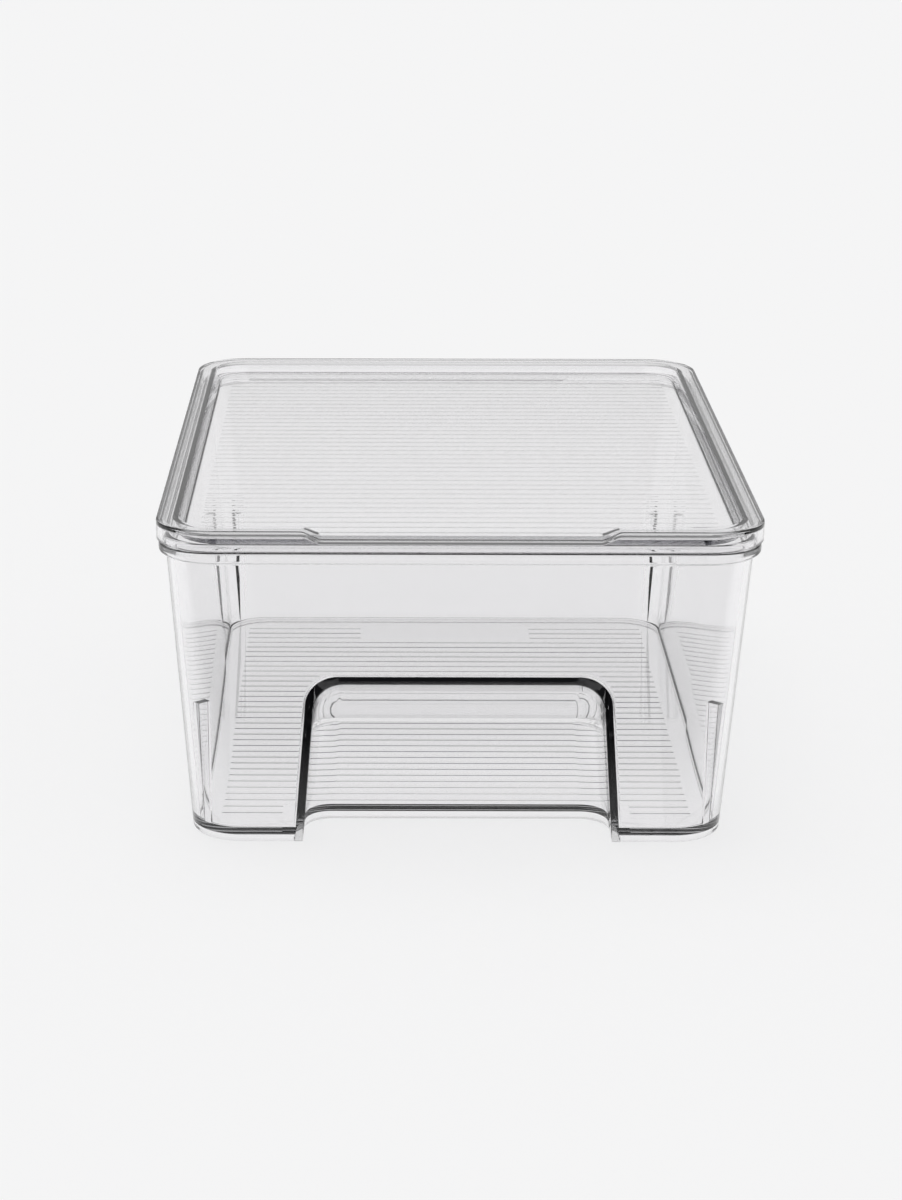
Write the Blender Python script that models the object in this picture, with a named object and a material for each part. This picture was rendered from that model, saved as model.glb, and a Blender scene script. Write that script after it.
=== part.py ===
# Clear storage box with a lift-off lid
# The box stands on its base, with its front at -Y and the origin in the middle of the base

import math

import bmesh
import bpy
from mathutils import Matrix, Vector

# Overall sizes, in metres
lid_width = 0.200
lid_length = 0.250
height = 0.112

# Lid
lid_corner = 0.0192
lid_edge = 0.0006
skirt_depth = 0.0074
skirt_wall = 0.0020
rim_plate = 0.0020
rim_width = 0.0072
recess_depth = 0.0043
recess_lean = 0.0020
recess_corner = 0.0120
panel_thickness = 0.0020
web_thickness = 0.0026

# Finger notch in the lid's front rim
notch_half_width = 0.0450
notch_ramp = 0.0070
notch_drop = 0.0026

# Walls of the box
wall = 0.0024
floor_thickness = 0.0026
wall_draft_share = 0.0669
body_corner = 0.0175
inner_edge = 0.0022

# Rim under the base, which the box stands on
foot_rim = 0.0020
foot_rim_wall = 0.0024
foot_edge = 0.0006

# Flange that the lid's skirt stands over
flange_thickness = 0.0036
flange_inset = 0.0007
flange_edge = 0.0012

# Clearances between the lid and the box
seat_gap = 0.0004
side_clearance = 0.0006
top_clearance = 0.0006

# Finger pull in the front, open to the front and below
pull_half_width = 0.0522
pull_depth = 0.0206
pull_height = 0.0578
pull_back_height = 0.0358
pull_lean_share = 0.0789
pull_corner = 0.0100
pull_wall = 0.0027
pull_hood_wall = 0.0034
pull_shell_corner = 0.0108

# Posts inside the four corners, upright where the walls lean out
post_height = 0.0490
post_width = 0.0030
post_foot_depth = 0.0006
post_draft_share = 0.012

# Shallow ribs on the floor and under the lid's panel
rib_pitch = 0.0058
rib_width = 0.0029
rib_height = 0.0004
rib_root = 0.0008
lid_rib_side = 0.0141
lid_rib_end = 0.0175
floor_rib_side = 0.0102
floor_rib_end = 0.0160
pull_rib_margin = 0.0050

# Bare rectangle on the floor at the back
label_half_width = 0.0345
label_length = 0.0205
label_setback = 0.0105

# How far a cutter runs past what it cuts, and how level an edge has to be
overrun = 0.0040
level_tolerance = 0.00001

# Steps around each rounding
corner_steps = 8
edge_steps = 2
pull_steps = 6

# Places that follow from the sizes
half_width = lid_width / 2
half_length = lid_length / 2
skirt_foot = height - skirt_depth
flange_top = skirt_foot - seat_gap
flange_foot = flange_top - flange_thickness
wall_top = height - notch_drop - rim_plate - top_clearance
top_half_x = half_width - skirt_wall - side_clearance
top_half_y = half_length - skirt_wall - side_clearance
inner_corner = body_corner - wall
floor_top = foot_rim + floor_thickness


def wall_half(z):
    """Half sizes of the walls' outer faces at a height."""
    drop = (wall_top - z) * wall_draft_share
    return top_half_x - drop, top_half_y - drop


def inset(halves, amount):
    return halves[0] - amount, halves[1] - amount


base_half_x, base_half_y = wall_half(0)
pull_back = pull_depth - base_half_y


def clear_scene():
    for item in list(bpy.data.objects):
        bpy.data.objects.remove(item, do_unlink=True)


def make_collection(name):
    group = bpy.data.collections.new(name)
    bpy.context.scene.collection.children.link(group)
    return group


def clear_plastic(name, colour, roughness):
    material = bpy.data.materials.new(name)
    material.use_nodes = True
    shader = material.node_tree.nodes["Principled BSDF"]
    shader.inputs["Base Color"].default_value = colour
    shader.inputs["Roughness"].default_value = roughness
    shader.inputs["Metallic"].default_value = 0.0
    shader.inputs["Transmission Weight"].default_value = 1.0
    material.diffuse_color = colour
    return material


def add_object(name, bm, group, parent=None):
    bmesh.ops.recalc_face_normals(bm, faces=bm.faces)
    mesh = bpy.data.meshes.new(name)
    bm.to_mesh(mesh)
    bm.free()
    item = bpy.data.objects.new(name, mesh)
    item.parent = parent
    group.objects.link(item)
    return item


def make_cutter(item):
    item.hide_render = True
    item.display_type = "WIRE"
    return item


def smooth_shading(item):
    item.data.shade_smooth()
    item.data.set_sharp_from_angle(angle=math.radians(30))


def boolean(item, tool, operation):
    step = item.modifiers.new(tool.name, "BOOLEAN")
    step.operation = operation
    step.solver = "EXACT"
    step.object = tool
    return step


def level_edges(bm, z):
    return [
        edge
        for edge in bm.edges
        if all(math.isclose(vert.co.z, z, abs_tol=level_tolerance) for vert in edge.verts)
    ]


def rounded_block(foot, head, bottom, top, corner, foot_round=0, head_round=0):
    """A block with upright rounded corners, whose foot and head can differ in size."""
    bm = bmesh.new()
    bmesh.ops.create_cube(bm, size=2)
    for vert in bm.verts:
        halves, z = (head, top) if vert.co.z > 0 else (foot, bottom)
        vert.co = Vector((vert.co.x * halves[0], vert.co.y * halves[1], z))
    uprights = [edge for edge in bm.edges if edge.verts[0].co.z != edge.verts[1].co.z]
    bmesh.ops.bevel(
        bm, geom=uprights, offset=corner, offset_type="OFFSET",
        segments=corner_steps, profile=0.5, affect="EDGES",
    )
    for amount, z in ((foot_round, bottom), (head_round, top)):
        if amount:
            bmesh.ops.bevel(
                bm, geom=level_edges(bm, z), offset=amount, offset_type="OFFSET",
                segments=edge_steps, profile=0.5, affect="EDGES",
            )
    return bm


def pull_block(side_grow, hood_grow, corner):
    """The space of the finger pull, with its sides and back moved out, and its hood."""
    hood_front = wall_half(pull_height)[1]
    bm = bmesh.new()
    bmesh.ops.create_cube(bm, size=2)
    bottom, top = -overrun, pull_height + hood_grow
    front, back = -half_length - overrun, pull_back + side_grow
    for vert in bm.verts:
        z = top if vert.co.z > 0 else bottom
        half = pull_half_width + side_grow - z * pull_lean_share
        vert.co = Vector((vert.co.x * half, back if vert.co.y > 0 else front, z))
    run = -hood_front - pull_back
    rise = pull_height - pull_back_height
    hood_normal = Vector((0, rise, -run)).normalized()
    hood_point = Vector((0, pull_back, pull_back_height)) + hood_normal * hood_grow
    bmesh.ops.bisect_plane(
        bm, geom=bm.verts[:] + bm.edges[:] + bm.faces[:],
        plane_co=hood_point, plane_no=hood_normal, clear_outer=True,
    )
    bmesh.ops.holes_fill(bm, edges=[edge for edge in bm.edges if edge.is_boundary])
    bm.normal_update()
    chain = [
        edge
        for edge in bm.edges
        if sum(abs(face.normal.x) > 0.5 for face in edge.link_faces) == 1
        and any(abs(face.normal.x) <= 0.5 and face.normal.y + face.normal.z > 0.5 for face in edge.link_faces)
    ]
    bmesh.ops.bevel(
        bm, geom=chain, offset=corner, offset_type="OFFSET",
        segments=pull_steps, profile=0.5, affect="EDGES",
    )
    return bm


def add_bar(bm, low_x, high_x, centre_y, foot, head):
    middle = Matrix.Translation(((low_x + high_x) / 2, centre_y, (foot + head) / 2))
    size = Matrix.Diagonal((high_x - low_x, rib_width, head - foot, 1))
    bmesh.ops.create_cube(bm, size=1, matrix=middle @ size)


def rib_rows(reach):
    """Places along Y of the ribs that fit in a reach to either side of the middle."""
    gaps = int(2 * reach / rib_pitch)
    return [(index - gaps / 2) * rib_pitch for index in range(gaps + 1)]


def floor_ribs():
    bm = bmesh.new()
    half = base_half_x - floor_rib_side
    foot, head = floor_top - rib_root, floor_top + rib_height
    pull_reach = pull_back + pull_wall + pull_rib_margin / 2
    label_back = base_half_y - label_setback
    for y in rib_rows(base_half_y - floor_rib_end):
        inner = 0
        if y - rib_width / 2 < pull_reach:
            inner = pull_half_width + pull_wall + pull_rib_margin
        elif label_back - label_length < y < label_back:
            inner = label_half_width
        if inner:
            add_bar(bm, -half, -inner, y, foot, head)
            add_bar(bm, inner, half, y, foot, head)
        else:
            add_bar(bm, -half, half, y, foot, head)
    return bm


def lid_ribs():
    bm = bmesh.new()
    half = half_width - lid_rib_side
    under = skirt_depth - recess_depth - panel_thickness
    for y in rib_rows(half_length - lid_rib_end):
        add_bar(bm, -half, half, y, under - rib_height, under + rib_root)
    return bm


def corner_posts():
    """Four narrow posts, one inside each corner, that stand out further towards their tops."""
    bm = bmesh.new()
    outward = Vector((1, 1, 0)).normalized()
    across = Vector((1, -1, 0)).normalized()
    foot_x, foot_y = inset(wall_half(floor_top), body_corner)
    for side_x in (-1, 1):
        for side_y in (-1, 1):
            cube = bmesh.ops.create_cube(bm, size=2)
            for vert in cube["verts"]:
                z = post_height if vert.co.z > 0 else floor_top - rib_root
                if vert.co.x > 0:
                    centre_x, centre_y = inset(wall_half(z), body_corner)
                    reach = inner_corner + wall / 2
                else:
                    centre_x, centre_y = foot_x, foot_y
                    reach = inner_corner - post_foot_depth + (z - floor_top) * post_draft_share
                centre = Vector((centre_x, centre_y, z))
                place = centre + outward * reach + across * vert.co.y * post_width / 2
                vert.co = Vector((place.x * side_x, place.y * side_y, z))
    return bm


def rim_block(foot, head, foot_half):
    """A block across the front rim whose ends slope as the notch's ramps do."""
    bm = bmesh.new()
    bmesh.ops.create_cube(bm, size=2)
    slope = notch_ramp / notch_drop
    for vert in bm.verts:
        z = head if vert.co.z > 0 else foot
        half = foot_half + (z - foot) * slope
        y = -half_length - overrun if vert.co.y < 0 else rim_width + overrun - half_length
        vert.co = Vector((vert.co.x * half, y, z))
    return bm


clear_scene()
parts = make_collection("storage_box")
cutters = make_collection("cutters")

# The box

body = add_object(
    "box_body",
    rounded_block(wall_half(0), wall_half(wall_top), 0, wall_top, body_corner, foot_edge),
    parts,
)
body.data.materials.append(clear_plastic("box_clear", (0.93, 0.94, 0.95, 0.35), 0.03))

flange_half = (half_width - flange_inset, half_length - flange_inset)
flange = make_cutter(add_object(
    "flange_form",
    rounded_block(
        flange_half, flange_half, flange_foot, flange_top,
        lid_corner - flange_inset, flange_edge,
    ),
    cutters,
))
cavity_head = wall_top + overrun
cavity = make_cutter(add_object(
    "cavity_form",
    rounded_block(
        inset(wall_half(floor_top), wall), inset(wall_half(cavity_head), wall),
        floor_top, cavity_head, inner_corner, inner_edge,
    ),
    cutters,
))
foot_half = inset(wall_half(0), foot_rim_wall)
hollow_foot = make_cutter(add_object(
    "hollow_foot_form",
    rounded_block(foot_half, foot_half, -overrun, foot_rim, body_corner - foot_rim_wall),
    cutters,
))
pull_shell = make_cutter(add_object(
    "pull_shell_form", pull_block(pull_wall, pull_hood_wall, pull_shell_corner), cutters,
))
pull_space = make_cutter(add_object("pull_space_form", pull_block(0, 0, pull_corner), cutters))
ribs = make_cutter(add_object("floor_ribs_form", floor_ribs(), cutters))
posts = make_cutter(add_object("corner_posts_form", corner_posts(), cutters))

smooth_shading(body)
boolean(cavity, pull_shell, "DIFFERENCE")
boolean(hollow_foot, pull_shell, "DIFFERENCE")
boolean(body, flange, "UNION")
boolean(body, cavity, "DIFFERENCE")
boolean(body, hollow_foot, "DIFFERENCE")
boolean(body, pull_space, "DIFFERENCE")
boolean(body, posts, "UNION")
boolean(body, ribs, "UNION")

# The lid, built from the foot of its skirt upwards

lid_lift = bpy.data.objects.new("lid_lift", None)
lid_lift.location = (0, 0, skirt_foot)
parts.objects.link(lid_lift)

lid_half = (half_width, half_length)
lid = add_object(
    "lid",
    rounded_block(lid_half, lid_half, 0, skirt_depth, lid_corner, 0, lid_edge),
    parts,
    lid_lift,
)
lid.data.materials.append(clear_plastic("lid_clear", (0.93, 0.94, 0.95, 0.35), 0.03))

recess_foot = skirt_depth - recess_depth
panel_foot = recess_foot - panel_thickness
lean_share = recess_lean / recess_depth
recess_head_half = inset(lid_half, rim_width)


def recess_half(z):
    return inset(recess_head_half, (skirt_depth - z) * lean_share)


recess_top = skirt_depth + overrun
recess = make_cutter(add_object(
    "recess_form",
    rounded_block(recess_half(recess_foot), recess_half(recess_top), recess_foot, recess_top, recess_corner),
    cutters,
    lid_lift,
))
skirt_half = inset(lid_half, skirt_wall)
plate_foot = skirt_depth - rim_plate
underside = make_cutter(add_object(
    "underside_form",
    rounded_block(skirt_half, skirt_half, -overrun, plate_foot, lid_corner - skirt_wall),
    cutters,
    lid_lift,
))
core = make_cutter(add_object(
    "core_form",
    rounded_block(
        inset(recess_half(panel_foot), -web_thickness), inset(recess_half(recess_top), -web_thickness),
        panel_foot, recess_top, recess_corner + web_thickness,
    ),
    cutters,
    lid_lift,
))
notch_foot = skirt_depth - notch_drop
notch = make_cutter(add_object(
    "notch_form", rim_block(notch_foot, recess_top, notch_half_width), cutters, lid_lift,
))
ceiling = make_cutter(add_object(
    "ceiling_form",
    rim_block(notch_foot - rim_plate, recess_top, notch_half_width + rim_plate),
    cutters,
    lid_lift,
))
panel_ribs = make_cutter(add_object("lid_ribs_form", lid_ribs(), cutters, lid_lift))

smooth_shading(lid)
boolean(underside, core, "DIFFERENCE")
boolean(underside, ceiling, "DIFFERENCE")
boolean(lid, underside, "DIFFERENCE")
boolean(lid, recess, "DIFFERENCE")
boolean(lid, notch, "DIFFERENCE")
boolean(lid, panel_ribs, "UNION")
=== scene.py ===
import math

import bmesh
import bpy
from mathutils import Matrix, Vector


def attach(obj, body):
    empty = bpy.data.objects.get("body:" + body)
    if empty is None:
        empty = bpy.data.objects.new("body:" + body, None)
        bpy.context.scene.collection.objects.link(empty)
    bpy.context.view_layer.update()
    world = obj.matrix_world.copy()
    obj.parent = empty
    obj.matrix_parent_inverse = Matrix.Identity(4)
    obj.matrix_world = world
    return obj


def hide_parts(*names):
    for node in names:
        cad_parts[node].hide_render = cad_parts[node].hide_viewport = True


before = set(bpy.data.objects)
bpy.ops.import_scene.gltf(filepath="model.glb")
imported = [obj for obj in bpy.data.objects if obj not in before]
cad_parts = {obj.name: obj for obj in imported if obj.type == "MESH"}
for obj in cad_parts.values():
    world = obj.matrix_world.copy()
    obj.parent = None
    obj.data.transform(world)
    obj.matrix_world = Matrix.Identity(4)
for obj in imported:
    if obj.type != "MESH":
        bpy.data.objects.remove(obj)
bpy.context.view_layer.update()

mm = 0.001
seam = 0.0001 * mm  # points closer than this are one
capReach = 12 * mm  # how far a flat end runs in from its edge before it is filled

# The box stands on the floor with its front at -Y. Every form is made in place, in metres.


# Small helpers for objects and meshes

def putObject(name, data):
    thing = bpy.data.objects.new(name, data)
    bpy.context.scene.collection.objects.link(thing)
    return thing


def keepResult(name, thing):
    # What the modifiers make of an object, as a plain mesh
    seen = bpy.context.evaluated_depsgraph_get()
    mesh = bpy.data.meshes.new_from_object(thing.evaluated_get(seen), depsgraph=seen)
    mesh.name = name
    return mesh


def closeMesh(mesh):
    # Fills what is open and turns every face outwards
    bm = bmesh.new()
    bm.from_mesh(mesh)
    bmesh.ops.holes_fill(bm, edges=[edge for edge in bm.edges if edge.is_boundary], sides=0)
    keepMesh(bm, mesh)
    return mesh


def keepMesh(bm, mesh):
    bmesh.ops.recalc_face_normals(bm, faces=bm.faces)
    bm.to_mesh(mesh)
    bm.free()


def pointMesh(name, places, notes):
    mesh = bpy.data.meshes.new(name)
    mesh.from_pydata(places, [], [])
    for label, vectors in notes.items():
        note = mesh.attributes.new(label, "FLOAT_VECTOR", "POINT")
        note.data.foreach_set("vector", [number for vector in vectors for number in vector])
    return mesh


# Small helpers for node trees

def putNode(tree, kind, **settings):
    node = tree.nodes.new(kind)
    for name, value in settings.items():
        setattr(node, name, value)
    return node


def feed(tree, socket, value):
    if isinstance(value, bpy.types.NodeSocket):
        tree.links.new(value, socket)
    else:
        socket.default_value = value


def reckon(tree, operation, *values):
    node = putNode(tree, "ShaderNodeMath", operation=operation)
    for socket, value in zip(node.inputs, values):
        feed(tree, socket, value)
    return node.outputs[0]


def startTree(name, inputs):
    tree = bpy.data.node_groups.new(name, "GeometryNodeTree")
    tree.interface.new_socket("Geometry", in_out="INPUT", socket_type="NodeSocketGeometry")
    for label, kind in inputs:
        tree.interface.new_socket(label, in_out="INPUT", socket_type="NodeSocket" + kind)
    tree.interface.new_socket("Geometry", in_out="OUTPUT", socket_type="NodeSocketGeometry")
    return tree, putNode(tree, "NodeGroupInput").outputs, putNode(tree, "NodeGroupOutput").inputs


def grow(name, seed, tree, values):
    # Runs a tree on a seed mesh and keeps the result as a plain mesh
    grower = putObject(name, seed)
    step = grower.modifiers.new(tree.name, "NODES")
    step.node_group = tree
    for item in tree.interface.items_tree:
        if item.in_out == "INPUT" and item.name in values:
            step[item.identifier] = values[item.name]
    mesh = keepResult(name, grower)
    grower.modifiers.remove(step)
    bpy.data.objects.remove(grower)
    return mesh


def endTree(tree, geometry, material, result):
    # Every tree ends in real geometry that carries its material
    whole = putNode(tree, "GeometryNodeRealizeInstances")
    feed(tree, whole.inputs[0], geometry)
    coat = putNode(tree, "GeometryNodeSetMaterial")
    feed(tree, coat.inputs["Geometry"], whole.outputs[0])
    feed(tree, coat.inputs["Material"], material)
    feed(tree, result[0], coat.outputs[0])


def joinXYZ(tree, x, y, z):
    node = putNode(tree, "ShaderNodeCombineXYZ")
    for socket, value in zip(node.inputs, (x, y, z)):
        feed(tree, socket, value)
    return node.outputs[0]


def splitXYZ(tree, vector):
    node = putNode(tree, "ShaderNodeSeparateXYZ")
    feed(tree, node.inputs[0], vector)
    return node.outputs


def ramp(tree, value, start, end, low=0, high=1):
    # A soft step from low to high as the value goes from start to end
    node = putNode(tree, "ShaderNodeMapRange", interpolation_type="SMOOTHSTEP")
    names = ("Value", "From Min", "From Max", "To Min", "To Max")
    for name, number in zip(names, (value, start, end, low, high)):
        feed(tree, node.inputs[name], number)
    return node.outputs[0]


# Clear plastic

clearLook = {
    "tint": (0.998, 0.995, 1, 1),
    "bend": 1.5,  # refractive index
    "waveScale": 45,
    "waveHeight": 0.4 * mm,
    "waveStrength": 0.004,
    "lampTint": (0.988, 0.988, 0.988, 1),  # what a surface leaves of a lamp's light
    "soakColor": (0, 0, 0.06, 1),
    "soak": {"box": 4, "lid": 9},
}


def clearPlastic(name, soakDensity):
    material = bpy.data.materials.new(name)
    material.use_nodes = True
    tree = material.node_tree
    shader = tree.nodes["Principled BSDF"]
    result = tree.nodes["Material Output"]
    shader.inputs["Base Color"].default_value = clearLook["tint"]
    shader.inputs["Roughness"].default_value = 0
    shader.inputs["IOR"].default_value = clearLook["bend"]
    shader.inputs["Transmission Weight"].default_value = 1
    place = putNode(tree, "ShaderNodeTexCoord").outputs["Object"]
    ripple = putNode(tree, "ShaderNodeTexNoise")
    feed(tree, ripple.inputs["Vector"], place)
    ripple.inputs["Scale"].default_value = clearLook["waveScale"]
    ripple.inputs["Detail"].default_value = 1
    bump = putNode(tree, "ShaderNodeBump")
    bump.inputs["Strength"].default_value = clearLook["waveStrength"]
    bump.inputs["Distance"].default_value = clearLook["waveHeight"]
    feed(tree, bump.inputs["Height"], ripple.outputs["Fac"])
    feed(tree, shader.inputs["Normal"], bump.outputs[0])
    # Lamps reach the floor through the plastic
    path = putNode(tree, "ShaderNodeLightPath").outputs
    through = putNode(tree, "ShaderNodeBsdfTransparent")
    through.inputs["Color"].default_value = clearLook["lampTint"]
    mix = putNode(tree, "ShaderNodeMixShader")
    feed(tree, mix.inputs[0], reckon(tree, "MAXIMUM", path["Is Shadow Ray"], path["Is Diffuse Ray"]))
    feed(tree, mix.inputs[1], shader.outputs[0])
    feed(tree, mix.inputs[2], through.outputs[0])
    feed(tree, result.inputs["Surface"], mix.outputs[0])
    # Light that is led a long way inside the plastic is soaked up, which gives the dark lines
    soak = putNode(tree, "ShaderNodeVolumeAbsorption")
    soak.inputs["Color"].default_value = clearLook["soakColor"]
    soak.inputs["Density"].default_value = soakDensity
    feed(tree, result.inputs["Volume"], soak.outputs[0])
    return material


boxPlastic = clearPlastic("boxPlastic", clearLook["soak"]["box"])
lidPlastic = clearPlastic("lidPlastic", clearLook["soak"]["lid"])
print("plastic done")


# Tree that carries a wall profile round a rounded rectangle

def shellTree():
    tree, given, result = startTree("wallRound", [
        ("Profile", "Object"), ("Width", "Float"), ("Length", "Float"),
        ("Notch Half", "Float"), ("Notch Ramp", "Float"), ("Notch Drop", "Float"), ("Material", "Material"),
    ])
    profile = putNode(tree, "GeometryNodeObjectInfo")
    feed(tree, profile.inputs["Object"], given["Profile"])
    profile = profile.outputs["Geometry"]

    def count(geometry):
        size = putNode(tree, "GeometryNodeAttributeDomainSize")
        feed(tree, size.inputs[0], geometry)
        return size.outputs["Point Count"]

    def pick(geometry, value, index):
        sample = putNode(tree, "GeometryNodeSampleIndex", data_type="FLOAT_VECTOR")
        feed(tree, sample.inputs["Geometry"], geometry)
        feed(tree, sample.inputs["Value"], value)
        feed(tree, sample.inputs["Index"], index)
        return splitXYZ(tree, sample.outputs[0])

    def note(label):
        node = putNode(tree, "GeometryNodeInputNamedAttribute", data_type="FLOAT_VECTOR")
        node.inputs["Name"].default_value = label
        return node.outputs["Attribute"]

    columns, rows = count(given["Geometry"]), count(profile)
    grid = putNode(tree, "GeometryNodeMeshGrid")
    feed(tree, grid.inputs["Vertices X"], reckon(tree, "ADD", columns, 1))
    feed(tree, grid.inputs["Vertices Y"], rows)
    index = putNode(tree, "GeometryNodeInputIndex").outputs[0]
    column = reckon(tree, "FLOOR", reckon(tree, "DIVIDE", reckon(tree, "ADD", index, 0.5), rows))
    row = reckon(tree, "SUBTRACT", index, reckon(tree, "MULTIPLY", column, rows))
    column = reckon(tree, "MODULO", column, columns)
    position = putNode(tree, "GeometryNodeInputPosition").outputs[0]
    side = pick(given["Geometry"], position, column)
    ray = pick(given["Geometry"], note("ray"), column)
    stop = pick(profile, position, row)  # inset, nothing, height
    bend = pick(profile, note("bend"), row)  # corner radius, share that falls, share that draws in

    def across(size, sideShare, rayShare):
        drawnIn = reckon(tree, "ADD", stop[0], bend[0])
        reach = reckon(tree, "SUBTRACT", reckon(tree, "DIVIDE", size, 2), drawnIn)
        straight = reckon(tree, "MULTIPLY", sideShare, reach)
        return reckon(tree, "ADD", straight, reckon(tree, "MULTIPLY", rayShare, bend[0]))

    x = across(given["Width"], side[0], ray[0])
    y = across(given["Length"], side[1], ray[1])
    # The notch in the front lowers the rows that fall with it
    notchEnd = reckon(tree, "ADD", given["Notch Half"], given["Notch Ramp"])
    low = ramp(tree, reckon(tree, "ABSOLUTE", x), given["Notch Half"], notchEnd, 1, 0)
    low = reckon(tree, "MULTIPLY", low, reckon(tree, "LESS_THAN", y, 0))
    low = reckon(tree, "MULTIPLY", low, given["Notch Drop"])
    y = reckon(tree, "ADD", y, reckon(tree, "MULTIPLY", low, bend[2]))
    z = reckon(tree, "SUBTRACT", stop[2], reckon(tree, "MULTIPLY", low, bend[1]))
    put = putNode(tree, "GeometryNodeSetPosition")
    feed(tree, put.inputs["Geometry"], grid.outputs["Mesh"])
    feed(tree, put.inputs["Position"], joinXYZ(tree, x, y, z))
    sew = putNode(tree, "GeometryNodeMergeByDistance")
    feed(tree, sew.inputs["Geometry"], put.outputs[0])
    sew.inputs["Distance"].default_value = seam
    endTree(tree, sew.outputs[0], given["Material"], result)
    return tree


wallRound = shellTree()


def roundedOutline(steps, frontShares=()):
    # Where the corner's centre lies as shares, and which way it points out, counter-clockwise
    places, rays = [], []
    for number, (sideX, sideY) in enumerate(((1, -1), (1, 1), (-1, 1), (-1, -1))):
        for step in range(steps + 1):
            angle = math.radians(90 * (number - 1 + step / steps))
            places.append((sideX, sideY, 0))
            rays.append((math.cos(angle), math.sin(angle), 0))
    for share in sorted(frontShares):
        places.append((share, -1, 0))
        rays.append((0, -1, 0))
    return pointMesh("outline", places, {"ray": rays})


def softProfile(stops, steps=6):
    # Each stop is inset, height, corner radius, edge radius, share that falls, share that draws in
    stops = [tuple(stop) + (0,) * (6 - len(stop)) for stop in stops]
    places, bends = [], []
    for index, (inset, height, corner, edge, falls, draws) in enumerate(stops):
        here = Vector((inset, height))
        if not edge:
            places.append((inset, 0, height))
            bends.append((corner, falls, draws))
            continue
        legs = []
        for other in (stops[index - 1], stops[index + 1]):
            run = Vector(other[:2]) - here
            legs.append((run.normalized(), (other[2] - corner) / run.length))
        (before, beforeLean), (after, afterLean) = legs
        half = before.angle(after) / 2
        centre = here + (before + after).normalized() * edge / math.sin(half)
        reach = edge / math.tan(half)
        first, last = here + before * reach - centre, here + after * reach - centre
        turn = first.angle_signed(last)
        for step in range(steps + 1):
            arm = Matrix.Rotation(-turn * step / steps, 2) @ first
            spot = centre + arm
            gap = spot - here
            cross = before.x * after.y - before.y * after.x
            along = (gap.x * after.y - gap.y * after.x) / cross
            beyond = (before.x * gap.y - before.y * gap.x) / cross
            places.append((spot.x, 0, spot.y))
            bends.append((corner + along * beforeLean + beyond * afterLean, falls, draws))
    return pointMesh("profile", places, {"bend": bends})


def wallShell(name, outline, stops, size, material, notch=None):
    rail = putObject("profile", softProfile(stops))
    notch = notch or {"half": 0, "ramp": mm, "drop": 0}
    mesh = grow(name, outline, wallRound, {
        "Profile": rail, "Width": size[0], "Length": size[1], "Material": material,
        "Notch Half": notch["half"], "Notch Ramp": notch["ramp"], "Notch Drop": notch["drop"],
    })
    bpy.data.objects.remove(rail)
    return closeMesh(mesh)


# Tree for a row of ribs

def ribTree():
    tree, given, result = startTree("ribRow", [
        ("Count", "Int"), ("Pitch", "Float"), ("First", "Float"), ("Low", "Float"), ("High", "Float"),
        ("Foot", "Float"), ("Root", "Float"), ("Crest", "Float"), ("Height", "Float"),
        ("Edge", "Float"), ("Turn", "Float"), ("Material", "Material"),
    ])
    line = putNode(tree, "GeometryNodeCurvePrimitiveLine")
    feed(tree, line.inputs["Start"], joinXYZ(tree, given["Low"], 0, 0))
    feed(tree, line.inputs["End"], joinXYZ(tree, given["High"], 0, 0))
    level = putNode(tree, "GeometryNodeSetCurveNormal")
    level.mode = "Z_UP"
    feed(tree, level.inputs["Curve"], line.outputs[0])
    section = putNode(tree, "GeometryNodeCurvePrimitiveQuadrilateral", mode="TRAPEZOID")
    feed(tree, section.inputs["Bottom Width"], given["Root"])
    feed(tree, section.inputs["Top Width"], given["Crest"])
    feed(tree, section.inputs["Height"], given["Height"])
    section.inputs["Offset"].default_value = 0
    soft = putNode(tree, "GeometryNodeFilletCurve", mode="POLY")
    feed(tree, soft.inputs["Curve"], section.outputs[0])
    soft.inputs["Count"].default_value = 3
    feed(tree, soft.inputs["Radius"], given["Edge"])
    bar = putNode(tree, "GeometryNodeCurveToMesh")
    feed(tree, bar.inputs["Curve"], level.outputs[0])
    feed(tree, bar.inputs["Profile Curve"], soft.outputs[0])
    bar.inputs["Fill Caps"].default_value = True
    rows = putNode(tree, "GeometryNodeMeshLine")
    feed(tree, rows.inputs["Count"], given["Count"])
    feed(tree, rows.inputs["Start Location"], joinXYZ(tree, 0, given["First"], given["Foot"]))
    feed(tree, rows.inputs["Offset"], joinXYZ(tree, 0, given["Pitch"], 0))
    copies = putNode(tree, "GeometryNodeInstanceOnPoints")
    feed(tree, copies.inputs["Points"], rows.outputs[0])
    feed(tree, copies.inputs["Instance"], bar.outputs[0])
    feed(tree, copies.inputs["Rotation"], joinXYZ(tree, given["Turn"], 0, 0))
    endTree(tree, copies.outputs[0], given["Material"], result)
    return tree


ribRow = ribTree()

ribs = {
    "pitch": 5.8 * mm,
    "root": 2.9 * mm,
    "crest": 2.3 * mm,
    "height": 0.18 * mm,
    "edge": 0.12 * mm,
    "sunk": 0.3 * mm,  # how deep a rib's root runs into what carries it
}


def ribRun(name, places, low, high, surface, down, material):
    # A run of ribs on a surface, standing up or hanging down from it
    tall = ribs["height"] + ribs["sunk"]
    lean = (ribs["root"] - ribs["crest"]) / ribs["height"]
    middle = tall / 2 - ribs["sunk"]
    empty = bpy.data.meshes.new(name)
    return grow(name, empty, ribRow, {
        "Count": len(places), "Pitch": ribs["pitch"], "First": places[0], "Low": low, "High": high,
        "Foot": surface - middle if down else surface + middle,
        "Root": ribs["root"] + lean * ribs["sunk"], "Crest": ribs["crest"], "Height": tall,
        "Edge": ribs["edge"], "Turn": math.pi if down else 0.0, "Material": material,
    })


def ribPlaces(count):
    return [(index - (count - 1) / 2) * ribs["pitch"] for index in range(count)]


# Joining forms

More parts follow.
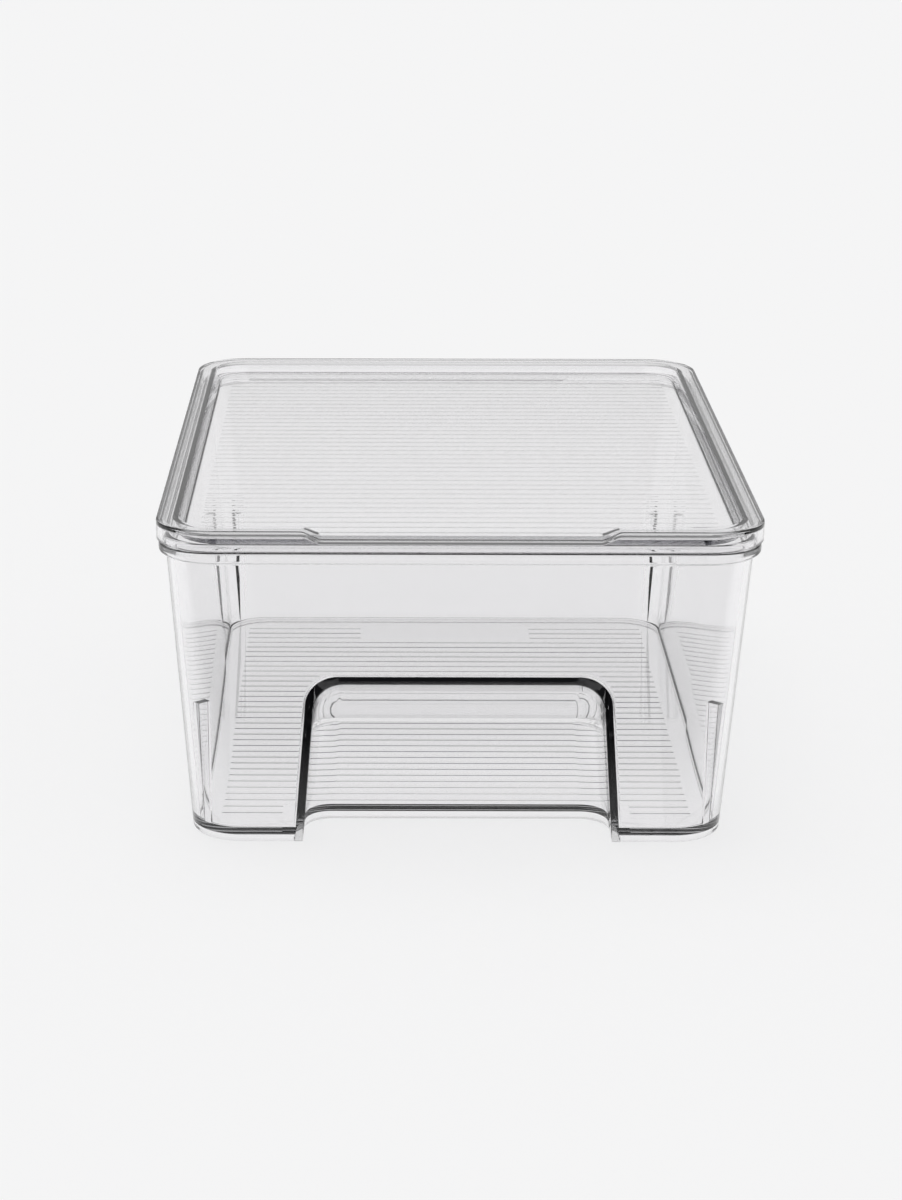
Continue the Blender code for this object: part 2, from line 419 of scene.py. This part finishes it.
def combine(name, base, steps):
    # Cuts or joins meshes with a base mesh, and keeps the result as a plain mesh
    holder = putObject(name, base)
    tools = []
    for operation, mesh in steps:
        tool = putObject(mesh.name, mesh)
        tools.append(tool)
        step = holder.modifiers.new(operation, "BOOLEAN")
        step.operation = operation
        step.solver = "EXACT"
        step.object = tool
    mesh = keepResult(name, holder)
    for item in [holder] + tools:
        bpy.data.objects.remove(item)
    return closeMesh(mesh)


shading = {"sharpAngle": 28, "faceWeight": 80, "faceThreshold": 0.001}


def finishPiece(name, mesh, material, body, node):
    mesh.materials.clear()
    mesh.materials.append(material)
    mesh.polygons.foreach_set("material_index", [0] * len(mesh.polygons))
    mesh.shade_smooth()
    mesh.set_sharp_from_angle(angle=math.radians(shading["sharpAngle"]))
    piece = putObject(name, mesh)
    weigh = piece.modifiers.new("flatFaces", "WEIGHTED_NORMAL")
    weigh.keep_sharp = True
    weigh.weight = shading["faceWeight"]
    weigh.thresh = shading["faceThreshold"]
    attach(piece, body)
    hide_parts(node)
    return piece


# The box

boxSizes = {
    "width": 200 * mm,
    "length": 250 * mm,
    "top": 106.8 * mm,
    "topInset": 2.6 * mm,
    "lean": 0.0669,
    "wall": 2.4 * mm,
    "footRim": 2.0 * mm,
    "footRimWall": 2.4 * mm,
    "floor": 4.6 * mm,
    "corner": 17.5 * mm,
    "cornerSteps": 21,
    "footEdge": 0.6 * mm,
    "innerEdge": 1.1 * mm,
    "rimEdge": 1.1 * mm,
    "flangeInset": 0.7 * mm,
    "flangeLow": 100.6 * mm,
    "flangeHigh": 104.2 * mm,
    "flangeCorner": 18.5 * mm,
    "flangeEdge": 1.2 * mm,
    "flangeRoot": 1.0 * mm,
    "seatEdge": 0.4 * mm,
    "seatRoot": 0.25 * mm,
    "hollowEdge": 0.3 * mm,
    # The space in the middle starts this far below the floor's top, and ends at this height
    "middleSunk": 1.3 * mm,
    "middleHigh": 80 * mm,
}


def wallInset(height):
    return boxSizes["topInset"] + (boxSizes["top"] - height) * boxSizes["lean"]


def boxShell():
    s = boxSizes
    inner = s["corner"] - s["wall"]
    stops = [
        (wallInset(0) + capReach, 0, s["corner"] - capReach),
        (wallInset(0), 0, s["corner"], s["footEdge"]),
        (wallInset(s["flangeLow"]), s["flangeLow"], s["corner"], s["flangeRoot"]),
        (s["flangeInset"], s["flangeLow"], s["flangeCorner"], s["flangeEdge"]),
        (s["flangeInset"], s["flangeHigh"], s["flangeCorner"], s["seatEdge"]),
        (wallInset(s["flangeHigh"]), s["flangeHigh"], s["corner"], s["seatRoot"]),
        (wallInset(s["top"]), s["top"], s["corner"], s["rimEdge"]),
        (wallInset(s["top"]) + s["wall"], s["top"], inner, s["rimEdge"]),
        (wallInset(s["floor"]) + s["wall"], s["floor"], inner, s["innerEdge"]),
        (wallInset(s["floor"]) + s["wall"] + capReach, s["floor"], inner - capReach),
    ]
    outline = roundedOutline(s["cornerSteps"])
    return wallShell("boxShell", outline, stops, (s["width"], s["length"]), boxPlastic)


def hollowFoot():
    # The shallow hollow under the floor, inside the rim that the box stands on
    s = boxSizes
    inset = wallInset(0) + s["footRimWall"]
    corner = s["corner"] - s["footRimWall"]
    stops = [
        (inset + capReach, -s["footRim"], corner - capReach),
        (inset, -s["footRim"], corner),
        (inset, s["footRim"], corner, s["hollowEdge"]),
        (inset + capReach, s["footRim"], corner - capReach),
    ]
    outline = roundedOutline(s["cornerSteps"])
    return wallShell("hollowFoot", outline, stops, (s["width"], s["length"]), boxPlastic)


def boxMiddle():
    # The space out to the middle of the walls, which bounds the finger pull's shell
    s = boxSizes
    half = s["wall"] / 2
    corner = s["corner"] - half
    low, high = s["floor"] - s["middleSunk"], s["middleHigh"]
    stops = [
        (wallInset(low) + half + capReach, low, corner - capReach),
        (wallInset(low) + half, low, corner),
        (wallInset(high) + half, high, corner),
        (wallInset(high) + half + capReach, high, corner - capReach),
    ]
    outline = roundedOutline(s["cornerSteps"])
    return wallShell("boxMiddle", outline, stops, (s["width"], s["length"]), boxPlastic)


pullSizes = {
    "half": 52.2 * mm,
    "depth": 20.6 * mm,
    "height": 57.8 * mm,
    "backHeight": 35.8 * mm,
    "lean": 0.0789,
    "past": 4.0 * mm,  # how far the form runs out in front of the wall and below the floor
    "cornerSteps": 14,
    "edgeSteps": 8,
    "plateSteps": 10,
    "backSteps": 15,
    "ridgeSteps": 5,
    # How far sides and hood stand out, corner, soft edges to the wall at sides and hood, ridge, crown
    "space": {
        "side": 0, "hood": 0, "corner": 10.0 * mm,
        "edge": 0.4 * mm, "hoodEdge": 0.4 * mm, "ridge": 1.2 * mm, "crown": 0,
    },
    "bulge": {
        "side": 2.7 * mm, "hood": 3.5 * mm, "corner": 10.8 * mm,
        "edge": 1.0 * mm, "hoodEdge": 2.0 * mm, "ridge": 2.0 * mm, "crown": 0.5 * mm,
    },
}


def pullForm(name, form, setback):
    # The finger pull's space or the outside of its shell, as arches one behind the other.
    # The setback is how far behind the wall's outer face the soft edge to the wall starts.
    s = pullSizes
    front = boxSizes["length"] / 2
    back = s["depth"] - (front - wallInset(0)) + form["side"]
    hoodFront = wallInset(s["height"]) - front
    slope = (s["height"] - s["backHeight"]) / (back - form["side"] - hoodFront)
    tilt = math.atan(slope)
    lift = form["hood"] / math.cos(tilt)
    turn = math.pi / 2 - tilt
    corner, ridge, edge, hoodEdge = form["corner"], form["ridge"], form["edge"], form["hoodEdge"]
    sideTilt = math.atan(s["lean"])

    def plate(y):
        # The hood's slope, slightly crowned between the wall and the back
        share = (y - hoodFront) / (back - hoodFront)
        crown = 4 * form["crown"] * max(share * (1 - share), 0)
        return s["height"] + lift + crown - (y - hoodFront) * slope

    def wallPlace(z, depth):
        return wallInset(z) - front + setback + depth

    def archTop(y, depth):
        top = plate(y)
        if depth < hoodEdge * (1 - math.cos(turn)):
            # The soft edge between the wall and the hood
            start = plate(wallPlace(s["height"] + lift, 0)) + hoodEdge * math.tan(turn / 2)
            return start - math.sqrt(hoodEdge ** 2 - (hoodEdge - max(depth, 0)) ** 2)
        run = back - y
        if run < ridge * (1 - math.sin(tilt)):
            # The soft ridge between the hood and the back
            low = plate(back) - ridge * math.tan(turn / 2)
            return low + math.sqrt(ridge ** 2 - (ridge - run) ** 2)
        return top

    def arch(depth, run=None):
        # Points up the left side, over the top and down the right, with their places along Y
        y = back - run if run is not None else wallPlace(s["height"], depth)
        top = archTop(y, depth if run is None else front)
        widen = edge - math.sqrt(edge ** 2 - (edge - depth) ** 2) if run is None and depth < edge else 0
        side = s["half"] + form["side"] + widen
        middle = side - (top - corner) * s["lean"] - corner / math.cos(sideTilt)
        points = [(side + s["past"] * s["lean"], -s["past"])]
        for step in range(s["cornerSteps"] + 1):
            angle = sideTilt + (math.pi / 2 - sideTilt) * step / s["cornerSteps"]
            points.append((middle + corner * math.cos(angle), top - corner + corner * math.sin(angle)))
        reach = back - y
        if reach < corner:
            # The back corners, round seen from above
            drawn = corner - math.sqrt(corner ** 2 - (corner - reach) ** 2)
            points = [(min(x, side - z * s["lean"] - drawn), z) for x, z in points]
        share = 0 if run is None else 1
        places = []
        for x, z in points:
            places.append(Vector((-x, wallPlace(z, depth) * (1 - share) + y * share, z)))
        return places + [Vector((-place.x, place.y, place.z)) for place in reversed(places)]

    flare = max(edge, hoodEdge * (1 - math.cos(turn)))
    arches = [arch(flare * (step / s["edgeSteps"]) ** 2) for step in range(s["edgeSteps"] + 1)]
    first = [Vector((place.x, -front - s["past"], place.z)) for place in arches[0]]
    deep = back - wallPlace(-s["past"], flare)
    # The runs are how far each arch behind the wall lies from the back
    count = s["plateSteps"]
    runs = [corner + (deep - corner) * step / count for step in range(1, count)]
    count = s["backSteps"]
    runs += [corner * (1 - math.sin(math.radians(90 * step / count))) for step in range(count)]
    count = s["ridgeSteps"]
    runs += [ridge * (1 - math.sin(tilt)) * (1 - step / count) ** 2 for step in range(count + 1)]
    arches = [first] + arches + [arch(0, run) for run in sorted(runs, reverse=True)]
    bm = bmesh.new()
    rings = []
    for places in arches:
        verts = [bm.verts.new(place) for place in places]
        rings.append([bm.edges.new(pair) for pair in zip(verts, verts[1:] + verts[:1])])
    for near, far in zip(rings, rings[1:]):
        bmesh.ops.bridge_loops(bm, edges=near + far)
    bmesh.ops.holes_fill(bm, edges=[edge for edge in bm.edges if edge.is_boundary], sides=0)
    bmesh.ops.remove_doubles(bm, verts=bm.verts, dist=10 * seam)
    mesh = bpy.data.meshes.new(name)
    keepMesh(bm, mesh)
    return mesh


postSizes = {
    "height": 49.0 * mm,
    "width": 3.0 * mm,
    "footDepth": 0.6 * mm,
    "footSunk": 0.6 * mm,
    "lean": 0.012,
    "edge": 0.35 * mm,
    "edgeSteps": 3,
}


def cornerPosts():
    # Upright posts inside the corners, which stand out further where the walls lean away
    s = postSizes
    inner = boxSizes["corner"] - boxSizes["wall"]
    low = boxSizes["floor"] - s["footSunk"]
    outward, across = Vector((1, 1, 0)).normalized(), Vector((1, -1, 0)).normalized()
    bm = bmesh.new()
    for sideX in (-1, 1):
        for sideY in (-1, 1):
            block = bmesh.ops.create_cube(bm, size=2)
            for vert in block["verts"]:
                z = s["height"] if vert.co.z > 0 else low
                stem = z if vert.co.x > 0 else boxSizes["floor"]
                inset = wallInset(stem) + boxSizes["corner"]
                reach = inner - s["footDepth"] + (z - boxSizes["floor"]) * s["lean"]
                if vert.co.x > 0:
                    reach = inner + boxSizes["wall"] / 2
                spot = outward * reach + across * vert.co.y * s["width"] / 2
                spot += Vector((boxSizes["width"] / 2 - inset, boxSizes["length"] / 2 - inset, z))
                vert.co = Vector((spot.x * sideX, spot.y * sideY, z))
            faces = {face for vert in block["verts"] for face in vert.link_faces}
            edges = {edge for vert in block["verts"] for edge in vert.link_edges}
            bmesh.ops.recalc_face_normals(bm, faces=list(faces))
            bmesh.ops.bevel(
                bm, geom=list(edges), offset=s["edge"], offset_type="OFFSET",
                segments=s["edgeSteps"], profile=0.5, affect="EDGES",
            )
    mesh = bpy.data.meshes.new("cornerPosts")
    keepMesh(bm, mesh)
    return mesh


floorRibs = {
    "count": 35,
    "half": 80.19 * mm,
    "pullRows": 2,
    "pullClear": 59.6 * mm,
    "bareRows": 3,
    "bareHalf": 34.5 * mm,
}


def floorRibRuns():
    # Rows across the floor, with gaps for the finger pull and for the bare rectangle at the back
    s = floorRibs
    places = ribPlaces(s["count"])
    nearPull = places[:s["pullRows"]]
    nearBare = places[-s["bareRows"]:]
    between = places[s["pullRows"]:-s["bareRows"]]
    top = boxSizes["floor"]
    runs = [ribRun("floorRibs", between, -s["half"], s["half"], top, False, boxPlastic)]
    for rows, clear in ((nearPull, s["pullClear"]), (nearBare, s["bareHalf"])):
        runs.append(ribRun("floorRibsLeft", rows, -s["half"], -clear, top, False, boxPlastic))
        runs.append(ribRun("floorRibsRight", rows, clear, s["half"], top, False, boxPlastic))
    return runs


pullBulge = pullForm("pullBulge", pullSizes["bulge"], boxSizes["wall"])
pullShell = combine("pullShell", pullBulge, [("INTERSECT", boxMiddle())])
footHollow = combine("footHollow", hollowFoot(), [("DIFFERENCE", pullBulge)])
boxMesh = combine("boxMesh", boxShell(), [
    ("DIFFERENCE", footHollow),
    ("UNION", pullShell),
    ("DIFFERENCE", pullForm("pullSpace", pullSizes["space"], 0)),
    ("UNION", cornerPosts()),
    *[("UNION", run) for run in floorRibRuns()],
])
storageBox = finishPiece("storageBox", boxMesh, boxPlastic, "box", "box_body")
print("box:", len(boxMesh.polygons), "faces")

# The lid

lidSizes = {
    "width": 200 * mm,
    "length": 250 * mm,
    "top": 112 * mm,
    "corner": 19.2 * mm,
    "edge": 0.9 * mm,
    "skirtFoot": 104.6 * mm,
    "skirtWall": 2.0 * mm,
    "plate": 2.0 * mm,
    "rim": 7.2 * mm,
    "recessLean": 2.0 / 4.3,
    "recessFoot": 107.7 * mm,
    "recessCorner": 12.0 * mm,
    "panel": 2.0 * mm,
    "web": 2.6 * mm,
    "footEdge": 0.9 * mm,
    "ceilingEdge": 0.4 * mm,
    "webEdge": 0.3 * mm,
    "recessEdge": 0.6 * mm,
    "recessRoot": 0.8 * mm,
    "panelReach": 9 * mm,
    "notch": {"half": 45 * mm, "ramp": 7 * mm, "drop": 2.6 * mm, "steps": 14},
    "cornerSteps": 20,
    "ribCount": 38,
    "ribHalf": 85.9 * mm,
}


def lidShell():
    s = lidSizes
    under = s["recessFoot"] - s["panel"]
    ceiling = s["top"] - s["plate"]

    def recessInset(height):
        return s["rim"] + (s["top"] - height) * s["recessLean"]

    lean = s["recessLean"]
    reach = s["panelReach"]
    webCorner = s["recessCorner"] + s["web"]
    stops = [
        (recessInset(s["recessFoot"]) + reach, s["recessFoot"], s["recessCorner"] - reach),
        (recessInset(s["recessFoot"]), s["recessFoot"], s["recessCorner"], s["recessRoot"]),
        (s["rim"], s["top"], s["recessCorner"], s["recessEdge"], 1, lean),
        (0, s["top"], s["corner"], s["edge"], 1, 0),
        (0, s["skirtFoot"], s["corner"], s["footEdge"]),
        (s["skirtWall"], s["skirtFoot"], s["corner"] - s["skirtWall"], s["footEdge"]),
        (s["skirtWall"], ceiling, s["corner"] - s["skirtWall"], s["ceilingEdge"], 1, 0),
        (recessInset(ceiling) - s["web"], ceiling, webCorner, s["ceilingEdge"], 1, lean),
        (recessInset(under) - s["web"], under, webCorner, s["webEdge"]),
        (recessInset(under) - s["web"] + reach, under, webCorner - reach),
    ]
    # Extra places along the front, from just before each ramp of the notch to just after it
    notch = s["notch"]
    straight = s["width"] / 2 - s["corner"]
    start, run = notch["half"] - mm, notch["ramp"] + 2 * mm
    places = [start + run * step / notch["steps"] for step in range(notch["steps"] + 1)]
    shares = [place / straight for place in places]
    outline = roundedOutline(s["cornerSteps"], shares + [-share for share in shares])
    return wallShell("lidShell", outline, stops, (s["width"], s["length"]), lidPlastic, notch)


lidMesh = combine("lidMesh", lidShell(), [
    ("UNION", ribRun(
        "lidRibs", ribPlaces(lidSizes["ribCount"]), -lidSizes["ribHalf"], lidSizes["ribHalf"],
        lidSizes["recessFoot"] - lidSizes["panel"], True, lidPlastic,
    )),
])
storageLid = finishPiece("storageLid", lidMesh, lidPlastic, "cover", "lid")
print("lid:", len(lidMesh.polygons), "faces")

# The studio

studio = {
    "floor": (0.905, 0.905, 0.908, 1),
    "floorRadius": 6,
    "floorRoughness": 0.6,
    # near-black colour of the painted shade on the floor
    "unlit": (0.008, 0.008, 0.009, 1),
    "room": 0.64,  # the light that falls on things
    "sun": 1.2,
    "sunWidth": 40,
    "sunTurn": (-12, -10),
    "pale": 0.905,  # the room as seen directly
    # The room as the plastic mirrors it, and where each part of it fades in
    "overhead": 1.0,
    "overheadFade": (0.45, 0.75),
    "behind": 0.75,
    "behindFade": (0, 0.7),
    "beside": 0.6,
    "besideFade": (0.3, 0.8),
    "front": 0.05,
    "low": 0.3,  # share that is left of the light from behind near the floor
    "lowFade": (0.05, 0.28),
    # Bounces inside the plastic over which the covered floor and the whole floor are painted dark (painted
    # shade), and the room's light is lost
    "underTrap": (1.2, 2.2),
    "floorTrap": (4, 12),
    "roomTrap": (1.5, 7),
    "underFade": 10 * mm,  # how softly the painted shade on the covered floor ends, and how far the painted shade in front of it fades in
    "aheadFade": 75 * mm,
}


def makeFloor():
    bm = bmesh.new()
    bmesh.ops.create_circle(bm, cap_ends=True, segments=96, radius=studio["floorRadius"])
    mesh = bpy.data.meshes.new("studioFloor")
    bm.to_mesh(mesh)
    bm.free()
    material = bpy.data.materials.new("paleFloor")
    material.use_nodes = True
    tree = material.node_tree
    shader = tree.nodes["Principled BSDF"]
    shader.inputs["Base Color"].default_value = studio["floor"]
    shader.inputs["Roughness"].default_value = studio["floorRoughness"]
    shader.inputs["Specular IOR Level"].default_value = 0
    dark = putNode(tree, "ShaderNodeEmission")
    dark.inputs["Color"].default_value = studio["unlit"]
    # Painted shade: where light has run to and fro inside the plastic, has landed under the box after about
    # two bounces, or has left it towards the front, the floor is painted near-black with a dark emission
    # instead of its lit colour
    soft = studio["underFade"]
    bounces = putNode(tree, "ShaderNodeLightPath").outputs["Glossy Depth"]
    x, y, z = splitXYZ(tree, putNode(tree, "ShaderNodeTexCoord").outputs["Object"])
    halfWidth, halfLength = lidSizes["width"] / 2, lidSizes["length"] / 2
    ahead = ramp(tree, y, -halfLength, -halfLength - studio["aheadFade"])
    ahead = reckon(tree, "MULTIPLY", ahead, reckon(tree, "GREATER_THAN", bounces, 0.5))
    side = ramp(tree, reckon(tree, "ABSOLUTE", x), halfWidth + soft, halfWidth - soft)
    depth = ramp(tree, reckon(tree, "ABSOLUTE", y), halfLength + soft, halfLength - soft)
    under = reckon(tree, "MULTIPLY", side, depth)
    under = reckon(tree, "MULTIPLY", under, ramp(tree, bounces, *studio["underTrap"]))
    lost = reckon(tree, "MAXIMUM", ramp(tree, bounces, *studio["floorTrap"]), ahead)
    lost = reckon(tree, "MAXIMUM", lost, under)
    mix = putNode(tree, "ShaderNodeMixShader")
    feed(tree, mix.inputs[0], lost)
    feed(tree, mix.inputs[1], shader.outputs[0])
    feed(tree, mix.inputs[2], dark.outputs[0])
    feed(tree, tree.nodes["Material Output"].inputs["Surface"], mix.outputs[0])
    mesh.materials.append(material)
    floor = putObject("studioFloor", mesh)


def makeWorld():
    # A pale room for what is seen directly, and lamps overhead and behind for what the plastic mirrors
    world = bpy.data.worlds.new("studioRoom")
    bpy.context.scene.world = world
    world.use_nodes = True
    tree = world.node_tree
    back = tree.nodes["Background"]
    path = putNode(tree, "ShaderNodeLightPath").outputs
    x, y, z = splitXYZ(tree, putNode(tree, "ShaderNodeTexCoord").outputs["Generated"])
    seen = reckon(tree, "MAXIMUM", path["Is Glossy Ray"], path["Is Transmission Ray"])
    seen = reckon(tree, "MAXIMUM", path["Is Camera Ray"], seen)
    bounces = path["Glossy Depth"]
    overhead = ramp(tree, z, *studio["overheadFade"], 0, studio["overhead"])
    behind = ramp(tree, y, *studio["behindFade"], studio["front"], studio["behind"])
    behind = reckon(tree, "MULTIPLY", behind, ramp(tree, z, *studio["lowFade"], studio["low"], 1))
    beside = ramp(tree, reckon(tree, "ABSOLUTE", x), *studio["besideFade"], 0, studio["beside"])
    room = reckon(tree, "MAXIMUM", overhead, reckon(tree, "MAXIMUM", behind, beside))
    room = reckon(tree, "MULTIPLY", room, ramp(tree, bounces, *studio["roomTrap"], 1, 0))

    def blend(share, without, withIt):
        node = putNode(tree, "ShaderNodeMix")
        sockets = (node.inputs[0], node.inputs["A"], node.inputs["B"])
        for socket, value in zip(sockets, (share, without, withIt)):
            feed(tree, socket, value)
        return node.outputs[0]

    pale = blend(reckon(tree, "GREATER_THAN", bounces, 0.5), studio["pale"], room)
    back.inputs["Color"].default_value = (1, 1, 1, 1)
    feed(tree, back.inputs["Strength"], blend(seen, studio["room"], pale))


def makeSun():
    lamp = bpy.data.lights.new("softTop", "SUN")
    lamp.energy = studio["sun"]
    lamp.angle = math.radians(studio["sunWidth"])
    sun = putObject("softTop", lamp)
    sun.rotation_euler = [math.radians(angle) for angle in studio["sunTurn"]] + [0]
    # The plastic doesn't mirror the lamp, as its image in the lid would be far too bright from above
    sun.visible_glossy = False
    sun.visible_transmission = False


makeFloor()
makeWorld()
makeSun()
print("studio done")

# The camera

cameraSet = {
    "place": (-25.15 * mm, -960.5 * mm, 360.9 * mm),
    "down": 18.02,
    "roll": 0.14,
    "lens": 81.24,
    "sensor": 36,
    "shift": (0.0563, 0),
    "clip": (0.05, 50),
}


def makeCamera():
    data = bpy.data.cameras.new("camera")
    data.sensor_fit = "AUTO"
    data.sensor_width = cameraSet["sensor"]
    data.lens = cameraSet["lens"]
    data.shift_x, data.shift_y = cameraSet["shift"]
    data.clip_start, data.clip_end = cameraSet["clip"]
    camera = putObject("camera", data)
    turn = Matrix.Rotation(math.radians(90 - cameraSet["down"]), 4, "X")
    roll = Matrix.Rotation(math.radians(cameraSet["roll"]), 4, "Z")
    camera.matrix_world = Matrix.Translation(cameraSet["place"]) @ turn @ roll
    bpy.context.scene.camera = camera


makeCamera()
view = bpy.context.scene.view_settings
view.view_transform = "Standard"
# Clear walls need many bounces before a ray leaves them
bounceLimits = {
    "max_bounces": 32,
    "transmission_bounces": 32,
    "glossy_bounces": 24,
    "transparent_max_bounces": 32,
}
for name, count in bounceLimits.items():
    setattr(bpy.context.scene.cycles, name, count)
print("camera done")
